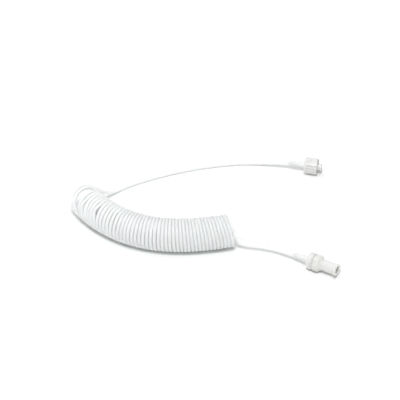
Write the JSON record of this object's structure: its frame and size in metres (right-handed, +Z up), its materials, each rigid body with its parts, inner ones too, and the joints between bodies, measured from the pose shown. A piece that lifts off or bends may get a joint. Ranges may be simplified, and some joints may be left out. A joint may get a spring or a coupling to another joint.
{
  "type": "coiled extension line",
  "caption": "Springy coiled small-bore tube lying on a table, with a male Luer lock and rotating collar at one end and a female Luer lock with an inline valve at the other.",
  "frame": {"origin": "on the table, midway between the two fittings, under the middle of their common box", "axes": "+Z up, +X out of the mouths of both fittings and away from the coil, +Y from the female fitting to the male fitting"},
  "size_m": [0.1512, 0.102, 0.019],
  "materials": {
    "tube": "milky translucent flexible plastic, satin gloss",
    "sleeve": "soft milky plastic",
    "fitting": "moulded warm white plastic, satin",
    "silicone": "translucent silicone"
  },
  "bodies": {
    "line": {"long_tail_tube": "tube", "opened_turns": "tube", "closed_coil": "tube", "male_hub": "fitting", "male_sleeve": "sleeve"},
    "collar": {"lock_collar": "fitting"},
    "female_end": {"short_tail_tube": "tube", "female_sleeve": "sleeve", "valve_outlet": "fitting", "valve_inlet": "fitting"},
    "disc": {"valve_disc": "silicone"}
  },
  "joints": [
    {"name": "collar_spin", "type": "hinge", "parent": "line", "child": "collar", "pos_m": [-0.001, 0.0445, 0.00465], "axis": [0.9781, -0.2079, 0], "continuous": true},
    {"name": "coil_stretch", "type": "slide", "parent": "line", "child": "female_end", "axis": [1, 0, 0], "range_m": [0, 0.3], "stiffness_N_per_m": 3, "deforming": ["opened_turns", "closed_coil"]},
    {"name": "disc_lift", "type": "slide", "parent": "female_end", "child": "disc", "axis": [-0.8746, 0.4848, 0], "range_m": [0, 0.0003], "stiffness_N_per_m": 50}
  ]
}
